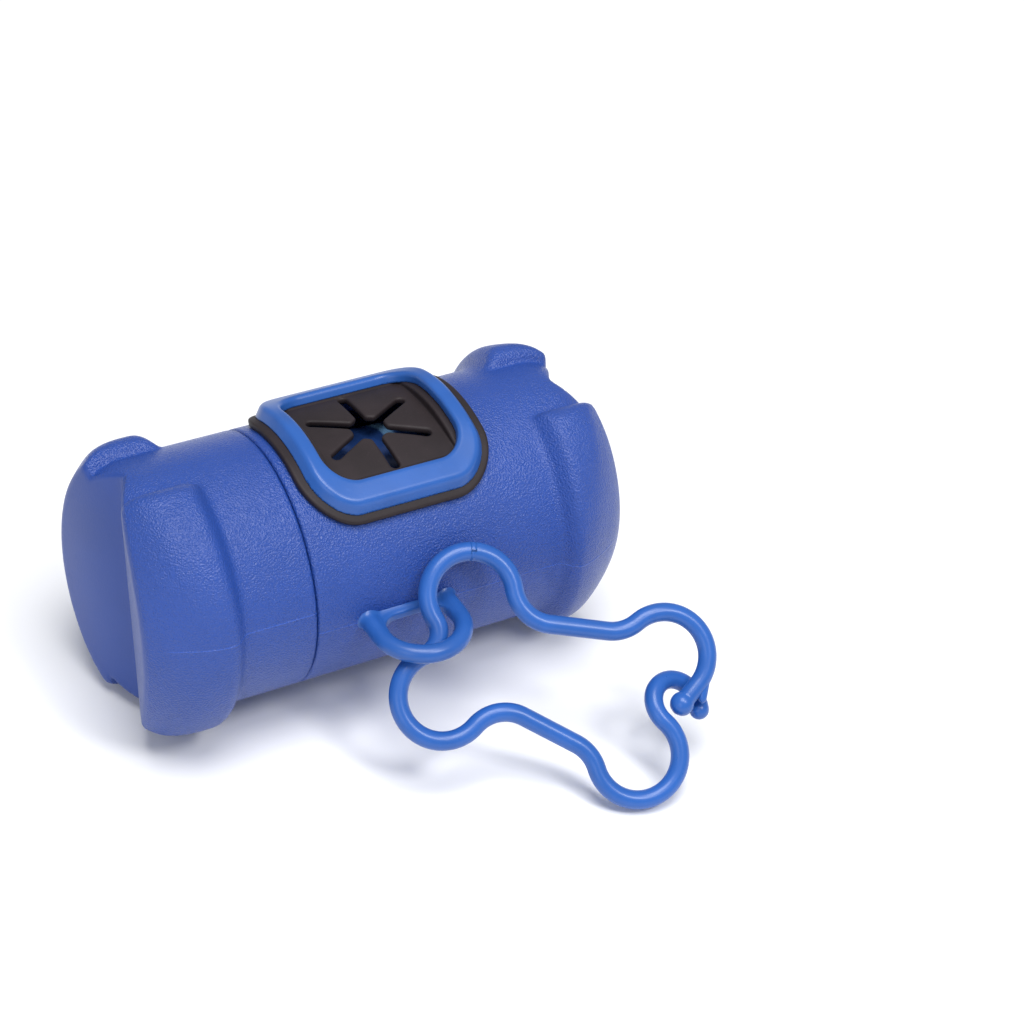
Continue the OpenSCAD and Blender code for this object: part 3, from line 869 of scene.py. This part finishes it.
class DISPENSER_OT_trim(bpy.types.Operator):
    """Moulds the bezel round the star and the lug on the tube's side"""

    bl_idname = "dispenser.trim"
    bl_label = "Bezel and lug"
    # The lowest and highest corner of the room that each piece is drawn in
    BEZEL_ROOM = (1.9, -16.2, 13.0), (31.1, 16.2, 22.4)
    LUG_ROOM = (-10.6, -8.4, -4.6), (10.6, 6.4, 4.6)

    def execute(self, context):
        given = context.scene.dispenser_trim
        smooth = trim_plastic("SmoothTrim", tuple(given.colour), given.roughness)
        bezel = moulded("bezel_ring", bezel_form, *self.BEZEL_ROOM, 0.22, smooth)
        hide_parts("bezel")
        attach(bezel, "body")
        lug = moulded("side_lug", lug_form, *self.LUG_ROOM, 0.2, smooth, 0.0)
        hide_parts("lug")
        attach(lug, "body")
        return {"FINISHED"}


class DISPENSER_OT_rubber(bpy.types.Operator):
    """Moulds the rubber sheet and parts its six flaps from it, each cut off at its root"""

    bl_idname = "dispenser.rubber"
    bl_label = "Rubber star"
    # The lowest and highest corner of the room that the sheet is drawn in
    ROOM = (0.9, -17.4, 12.0), (32.1, 17.4, 20.8)
    # Where a flap's bend starts and ends, out from its root, and how far past the slots the cuts reach
    HINGE, CUT_MARGIN = (0.3, -1.3), 1.5

    def execute(self, context):
        given = context.scene.dispenser_rubber
        skin = star_rubber("StarRubber", tuple(given.colour))
        points, faces = surface_net(rubber_form, *self.ROOM, given.step)
        whole = piece("star_rubber", points, faces, skin)
        tidy(whole)
        centre = Vector((RIM + (WINDOW_X, 0, 0)) * MM)
        shape = bmesh.new()
        shape.from_mesh(whole.data)
        reach = (SLOT_REACH + self.CUT_MARGIN) * MM
        for out in self.directions():
            near = [f for f in shape.faces if (f.calc_center_median() - centre).xy.length < reach]
            edges = list({e for f in near for e in f.edges})
            corners = list({v for f in near for v in f.verts})
            root = centre + out * FLAP_ROOT * MM
            geometry = near + edges + corners
            bmesh.ops.bisect_plane(shape, geom=geometry, plane_co=root, plane_no=out, dist=1e-8)
        shape.to_mesh(whole.data)
        shape.free()
        sheet = self.cut(whole, centre, 0, skin)
        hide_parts("star_sheet")
        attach(sheet, "body")
        for k in range(1, FLAPS + 1):
            flap = self.cut(whole, centre, k, skin)
            out = self.directions()[k % FLAPS]
            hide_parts(f"star_flap_{k}")
            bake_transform(flap)
        bpy.data.objects.remove(whole)
        return {"FINISHED"}

    @staticmethod
    def directions():
        """The way that each flap points from the star's centre, in plan."""
        turns = [2 * math.pi * k / FLAPS for k in range(FLAPS)]
        return [Vector((math.cos(turn), math.sin(turn), 0)) for turn in turns]

    def cut(self, whole, centre, k, skin):
        """One of the seven pieces: the sheet for k = 0, else the flap that points along 60 k degrees."""
        shape = bmesh.new()
        shape.from_mesh(whole.data)
        drop, outwards = [], self.directions()
        for face in shape.faces:
            at = face.calc_center_median() - centre
            reach = [at.x * out.x + at.y * out.y for out in outwards]
            inside = max(reach) < FLAP_ROOT * MM
            mine = (inside and reach.index(max(reach)) == k % FLAPS) if k else not inside
            if not mine:
                drop.append(face)
        bmesh.ops.delete(shape, geom=drop, context="FACES")
        rim = [e for e in shape.edges if e.is_boundary]
        for edge in rim:
            edge.smooth = False
        filled = bmesh.ops.holes_fill(shape, edges=rim, sides=0)["faces"]
        for face in filled:
            face.smooth = False
        bmesh.ops.triangulate(shape, faces=filled)
        name = f"rubber_flap_{k}" if k else "rubber_sheet"
        mesh = bpy.data.meshes.new(name)
        shape.to_mesh(mesh)
        shape.free()
        if not mesh.materials:
            mesh.materials.append(skin)
        made = bpy.data.objects.new(name, mesh)
        bpy.context.scene.collection.objects.link(made)
        return made


class DISPENSER_OT_clip(bpy.types.Operator):
    """Bends the bone-shaped clip from round rod: its frame with the hook, and its springy arm"""

    bl_idname = "dispenser.clip"
    bl_label = "Bone clip"

    # Radii of the notch's, the lobes' and the waists' bends
    NOTCH, LOBE, WAIST = 3.4, 6.3, 5.9
    # Distance of the lobes' centres and of the shaft's two ends from the middle line, and from lobe to lobe
    HALF, NEAR_SHAFT, FAR_SHAFT, LENGTH = 7.45, 6.75, 8.3, 29.6
    # The angle at which the rod hangs in the lug, how far it has slid round its notch, and the clip's turns
    HANG, SLIDE, POSE = 40.0, 40.0, (44.5, 15.5, -32.0)
    # Where the lug's rod passes the clip, as x and y, and the air between the two rods
    EYE_ROD, GAP = (-0.6, -6.2), 0.3
    # The angle on the near lobe where the arm leaves the frame, how far the two lap over each other there,
    # and where the arm's bend starts and ends
    FLEX, LAP, BEND = 100.0, 8.0, (6, -9)
    HOOK_TURN, HOOK_R, HOOK_SWEEP, HOOK_DIP, HOOK_TIP_R = 66.0, 3.8, 239.0, 26.0, 1.45
    PRONG_TURN, PRONG_LEN, BALL_R = 25.5, 3.5, 1.75
    BARB_TURN, BARB_LEAN, BARB_START, BARB_END = -10.0, 14.0, -0.4, 4.05

    def measure(self):
        """The bends' centres and angles, from their radii."""
        reach = math.sqrt((self.LOBE + self.NOTCH) ** 2 - self.HALF**2)
        self.near, self.far = reach - self.NOTCH, reach - self.NOTCH + self.LENGTH
        self.notch_turn = math.degrees(math.atan2(self.HALF, reach))
        self.bends, self.waist_turns = [], []
        for shaft, lobe, facing in ((self.NEAR_SHAFT, self.near, 1), (self.FAR_SHAFT, self.far, -1)):
            off = shaft + self.WAIST - self.HALF
            along = math.sqrt((self.LOBE + self.WAIST) ** 2 - off**2)
            self.bends.append(np.array((lobe + facing * along, shaft + self.WAIST)))
            self.waist_turns.append(math.degrees(math.atan2(off, along)))
        run = self.bends[1] - self.bends[0]
        self.shaft_turn = math.degrees(math.atan2(run[1], run[0]))

    def side(self, end):
        """A side from the near lobe's waist to the far lobe, on the positive side of the clip."""
        lean = math.radians(self.shaft_turn)
        inward = self.WAIST * np.array((math.sin(lean), -math.cos(lean)))
        run = self.bends[1] - self.bends[0]
        shaft = [(*(self.bends[0] + run * t + inward), 0) for t in np.linspace(0, 1, 12)]
        return joined(
            arc(self.bends[0], self.WAIST, 180 + self.waist_turns[0], 270 + self.shaft_turn),
            np.array(shaft),
            arc(self.bends[1], self.WAIST, 270 + self.shaft_turn, 360 - self.waist_turns[1]),
            arc((self.far, self.HALF), self.LOBE, 180 - self.waist_turns[1], end),
        )

    def hung(self, points):
        """Puts points of the clip's own plane where it hangs, in millimetres from the lug's eye."""
        turn = [Matrix.Rotation(math.radians(a), 3, axis) for a, axis in zip(self.POSE, "XYZ")]
        pose = np.array(turn[2] @ turn[1] @ turn[0])
        slide, hang = math.radians(self.SLIDE), math.radians(self.HANG)
        slid = np.array((self.NOTCH * (1 - math.cos(slide)), self.NOTCH * math.sin(slide), 0))
        apart = ROD_R + ROD_R + self.GAP
        x, y = self.EYE_ROD
        hung = np.array((x, y + apart * math.cos(hang), -apart * math.sin(hang)))
        return (np.asarray(points) + slid) @ pose.T + hung

    def rod(self, name, paths, material):
        """One mesh of several swept rods, each (path, radii)."""
        points, faces = [], []
        for path, radius in paths:
            p, f = swept(path, radius)
            faces += [tuple(i + len(points) for i in face) for face in f]
            points += list(p)
        made = piece(name, self.hung(points), faces, material, 0.0)
        tidy(made)
        return made

    def execute(self, context):
        given = context.scene.dispenser_trim
        self.measure()
        colour = shade(tuple(given.colour), 1.12)
        material = trim_plastic("ClipPlastic", colour, given.roughness - 0.03)

        path, radius = self.rounded(self.frame_path(), given.rod, self.HOOK_TIP_R)
        frame_rod = self.rod("clip_frame", [(path, radius)], material)
        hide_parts("bone_clip")
        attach(frame_rod, "clip")

        arm = self.rod("clip_arm_rod", [self.arm_and_prong(given.rod), self.barb()], material)
        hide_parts("clip_arm")
        turns = [self.FLEX + off for off in self.BEND]
        start, end = [self.hung(self.near_lobe(turn, turn - 1)[:1])[0] * MM for turn in turns]
        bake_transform(arm)
        return {"FINISHED"}

    def near_lobe(self, start, end):
        """The bend of the near lobe on the positive side, between two angles."""
        return arc((self.near, self.HALF), self.LOBE, start, end)

    def frame_path(self):
        """From the arm's root round both near lobes and their notch, along a side and into the hook."""
        mirror = np.array((1, -1, 1))
        hook = arc((self.HOOK_R, 0), self.HOOK_R, 180, 180 - self.HOOK_SWEEP, 6)
        dip = np.array(Matrix.Rotation(math.radians(self.HOOK_DIP), 3, "Y"))
        swing = np.array(Matrix.Rotation(math.radians(self.HOOK_TURN), 3, "Z"))
        hook = (hook @ dip.T + (self.LOBE, 0, 0)) @ swing.T + (self.far, -self.HALF, 0)
        return joined(
            self.near_lobe(self.FLEX + 1, 180 + self.notch_turn),
            arc((-self.NOTCH, 0), self.NOTCH, self.notch_turn, -self.notch_turn),
            self.near_lobe(180 + self.notch_turn, self.waist_turns[0]) * mirror,
            self.side(-self.HOOK_TURN) * mirror,
            hook,
        )

    def arm_and_prong(self, rod):
        """The arm's path and radii, with the ball at the end of its prong."""
        start = self.FLEX + 1 + self.LAP
        path = joined(self.near_lobe(start, self.waist_turns[0]), self.side(-self.PRONG_TURN))
        ahead = path[-1] - path[-2]
        ahead /= np.linalg.norm(ahead)
        centre = path[-1] + ahead * self.PRONG_LEN
        first, last, ball_from, ball_flat = 0.7, 1.5, -1.3, 0.03
        prong = [centre - ahead * t for t in np.linspace(self.PRONG_LEN - first, last, 3)]
        across = np.linspace(ball_from, self.BALL_R - ball_flat, 14)
        ball = [centre + ahead * t for t in across]
        round_r = [math.sqrt(max(self.BALL_R**2 - t * t, 0.01)) for t in across]
        ball_r = [max(r, rod * 0.99 if t < 0 else 0) for r, t in zip(round_r, across)]
        radius = np.concatenate([np.full(len(path) + len(prong), rod), ball_r])
        return np.concatenate([path, prong, ball]), radius

    def barb(self):
        """The tapering barb on the far lobe, beside the prong's root."""
        swing = np.array(Matrix.Rotation(math.radians(self.BARB_TURN), 3, "Z"))
        root = swing @ (self.LOBE, 0, 0) + (self.far, self.HALF, 0)
        lean = math.radians(self.BARB_LEAN)
        point = np.array((math.sin(lean), -math.cos(lean), 0))
        along = np.linspace(self.BARB_START, self.BARB_END, 12)
        taper = np.interp(along, (0, 3.4, 3.8, self.BARB_END), (1.15, 0.62, 0.5, 0.12))
        return np.array([root + point * t for t in along]), taper

    @staticmethod
    def rounded(path, rod, tip):
        """A path and its radii, with a slightly swollen and rounded last end."""
        ahead = path[-1] - path[-2]
        ahead /= np.linalg.norm(ahead)
        steps = np.linspace(0, math.pi / 2 * 0.97, 7)[1:]
        radius = np.full(len(path), rod)
        radius[-4:] = np.linspace(rod, tip, 4)
        path = np.concatenate([path, [path[-1] + ahead * tip * math.sin(s) for s in steps]])
        return path, np.concatenate([radius, [tip * math.cos(s) for s in steps]])


class DISPENSER_OT_roll(bpy.types.Operator):
    """Winds the roll of bags on its cardboard core"""

    bl_idname = "dispenser.roll"
    bl_label = "Bag roll"
    # Air round the core, waists along the roll, and how uneven its laps are beyond a radius
    BORE_GAP, WAISTS, LAP, LAP_FROM = 0.1, 10, 0.0035, 14.0
    # How far the film's end face lies within the core's end, and the two steps that round its rim
    INSET, RIM_STEPS = 0.35, ((0.35, 0.5), (0.42, 0.2))
    # Radius of the beads that show the film's turns, their room at the bore and the rim, and points per turn
    TURN_R, TURN_INNER, TURN_OUTER, TURN_POINTS = 0.24, 0.3, 0.45, 56

    def execute(self, context):
        given = context.scene.dispenser_roll
        film = bag_film("BagFilm", tuple(given.film))
        edge = wound_edge("FilmEdges", shade(tuple(given.film), 0.8))
        board = wound_board("CoreBoard", tuple(given.board))
        end = ROLL_X + ROLL_LEN
        bore = CORE_R + self.BORE_GAP
        roll = piece("bag_film", *self.wound(bore, end), film)
        tidy(roll)
        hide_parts("bag_roll")
        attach(roll, "bag_roll")
        near, far = bore + self.TURN_INNER, ROLL_R - self.TURN_OUTER
        sunk = self.INSET + 0.01
        for name, at in (("film_turns_left", ROLL_X + sunk), ("film_turns_right", end - sunk)):
            start = (at, 0, 0)
            turns = spiral(name, edge, given.turns, near, far, 0, self.TURN_R, self.TURN_POINTS, start)
            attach(turns, "bag_roll")
        core = piece("core_tube", *lathe(self.core_ring(end), 96), board)
        tidy(core)
        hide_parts("roll_core")
        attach(core, "roll_core")
        return {"FINISHED"}

    def wound(self, bore, end):
        """The roll's surface: waists between the bags' folds, rounded ends and slightly uneven laps."""
        straight_from, waist_sink, waist_depth = 0.6, 0.09, 0.07
        along = np.linspace(0, 1, 59)
        waists = ROLL_R - waist_sink + waist_depth * np.cos(2 * math.pi * along * self.WAISTS)
        outline = list(zip(ROLL_X + straight_from + (ROLL_LEN - 2 * straight_from) * along, waists))
        left = [(ROLL_X + self.INSET, bore), *((ROLL_X + x, ROLL_R - r) for x, r in self.RIM_STEPS)]
        right = [*((end - x, ROLL_R - r) for x, r in reversed(self.RIM_STEPS)), (end - self.INSET, bore)]
        points, faces = lathe([*left, *outline, *right])
        x, y, z = points.T
        around, r = np.arctan2(z, y), np.hypot(y, z)
        uneven = np.sin(around * 5 + x * 0.21) * 0.6 + np.sin(around * 9 - x * 0.13) * 0.4
        lap = 1 + self.LAP * np.where(r > self.LAP_FROM, uneven, 0)
        points[:, 1:] *= np.minimum(lap, ROLL_R / np.maximum(r, 1e-6))[:, None]
        return points, faces

    def core_ring(self, end):
        """The cardboard's section, with its edges taken off."""
        inner, c = CORE_R - CORE_WALL, 0.1
        left = [(ROLL_X, inner + c), (ROLL_X, CORE_R - c), (ROLL_X + c, CORE_R)]
        right = [(end - c, CORE_R), (end, CORE_R - c), (end, inner + c)]
        return [*left, *right, (end - c, inner), (ROLL_X + c, inner)]


class DISPENSER_OT_stage(bpy.types.Operator):
    """Sets the floor, the lamps and the camera"""

    bl_idname = "dispenser.stage"
    bl_label = "Stage"
    # How far the floor reaches each way, in millimetres
    FLOOR_REACH = 3000
    # The point that the lamps face, and each lamp's name, place, width in metres, watts and colour
    AIM = (0.011, 0.02, 0)
    LAMPS = (
        ("Softbox", (-0.03, -0.12, 0.72), 0.45, 4.4, (1, 1, 1)),
        ("Glint", (0.16, -0.42, 0.6), 0.2, 1.9, (1, 1, 1)),
        ("Fill", (-0.7, -0.5, 0.45), 0.6, 1.5, (0.95, 0.97, 1.0)),
    )
    SKY, SKY_STRENGTH = (0.92, 0.95, 1.0, 1), 0.42
    # The sensor's width in millimetres, and the nearest and farthest that the camera sees, in metres
    SENSOR, CLEAR_VIEW = 36, (0.01, 20)

    def lamp(self, name, at, size, power, colour):
        """A soft round lamp that faces the dispenser."""
        data = bpy.data.lights.new(name, "AREA")
        data.shape, data.size, data.energy, data.color = "DISK", size, power, colour
        made = bpy.data.objects.new(name, data)
        made.location = at
        made.rotation_euler = (Vector(self.AIM) - Vector(at)).to_track_quat("-Z", "Y").to_euler()
        bpy.context.scene.collection.objects.link(made)

    def execute(self, context):
        given = context.scene.dispenser_stage
        scene = context.scene
        low = CAD_BOX[0][2]
        reach = self.FLOOR_REACH
        corners = [(x * reach, y * reach, low / MM) for x, y in ((-1, -1), (1, -1), (1, 1), (-1, 1))]
        floor = piece("floor", corners, [(0, 1, 2, 3)], self.paper(tuple(given.floor)), 0.0)

        world = scene.world or bpy.data.worlds.new("Studio")
        scene.world = world
        world.use_nodes = True
        sky = world.node_tree.nodes["Background"]
        sky.inputs["Color"].default_value = self.SKY
        sky.inputs["Strength"].default_value = self.SKY_STRENGTH
        for lamp in self.LAMPS:
            self.lamp(*lamp)

        camera = bpy.data.objects.new("Camera", bpy.data.cameras.new("Camera"))
        scene.collection.objects.link(camera)
        camera.data.lens, camera.data.sensor_width = given.focal, self.SENSOR
        camera.data.clip_start, camera.data.clip_end = self.CLEAR_VIEW
        a, e, roll = given.azimuth, given.elevation, given.roll
        back = Vector((math.sin(a) * math.cos(e), -math.cos(a) * math.cos(e), math.sin(e)))
        level = Vector((math.cos(a), math.sin(a), 0))
        upright = back.cross(level)
        right = level * math.cos(roll) + upright * math.sin(roll)
        up = upright * math.cos(roll) - level * math.sin(roll)
        turn = Matrix((right, up, back)).transposed()
        camera.matrix_world = Matrix.Translation(given.camera) @ turn.to_4x4()
        scene.camera = camera
        scene.view_settings.view_transform = "Standard"
        return {"FINISHED"}

    def paper(self, colour):
        """Pale matte paper with a trace of tone in it."""
        paint = Paint("FloorPaper", Specular_IOR_Level=0.2)
        drift = paint.noise(3.0, 2.0, 0.5, 12.0)
        tone = paint.blend(drift.fade(0.3, 0.7), shade(colour, 0.995), colour)
        return paint.wear(Base_Color=tone, Roughness=0.7 + drift * 0.1)


OPERATORS = (
    DISPENSER_OT_shells,
    DISPENSER_OT_threads,
    DISPENSER_OT_trim,
    DISPENSER_OT_rubber,
    DISPENSER_OT_clip,
    DISPENSER_OT_roll,
    DISPENSER_OT_stage,
)


class DISPENSER_PT_panel(bpy.types.Panel):
    """Lists the steps that finish the dispenser, with their settings"""

    bl_idname = "DISPENSER_PT_panel"
    bl_label = "Bag dispenser"
    bl_space_type = "VIEW_3D"
    bl_region_type = "UI"
    bl_category = "Dispenser"

    def draw(self, context):
        for group, settings in SETTINGS.items():
            box = self.layout.box()
            for name in settings.__annotations__:
                box.prop(getattr(context.scene, group), name)
        for operator in OPERATORS:
            self.layout.operator(operator.bl_idname)


def register():
    for made in (*SETTINGS.values(), *OPERATORS, DISPENSER_PT_panel):
        bpy.utils.register_class(made)
    for group, settings in SETTINGS.items():
        setattr(bpy.types.Scene, group, PointerProperty(type=settings))


def unregister():
    for group in SETTINGS:
        delattr(bpy.types.Scene, group)
    for made in (DISPENSER_PT_panel, *OPERATORS, *reversed(SETTINGS.values())):
        bpy.utils.unregister_class(made)


def main():
    register()
    for operator in OPERATORS:
        family, name = operator.bl_idname.split(".")
        getattr(getattr(bpy.ops, family), name)()


if __name__ == "__main__":
    main()
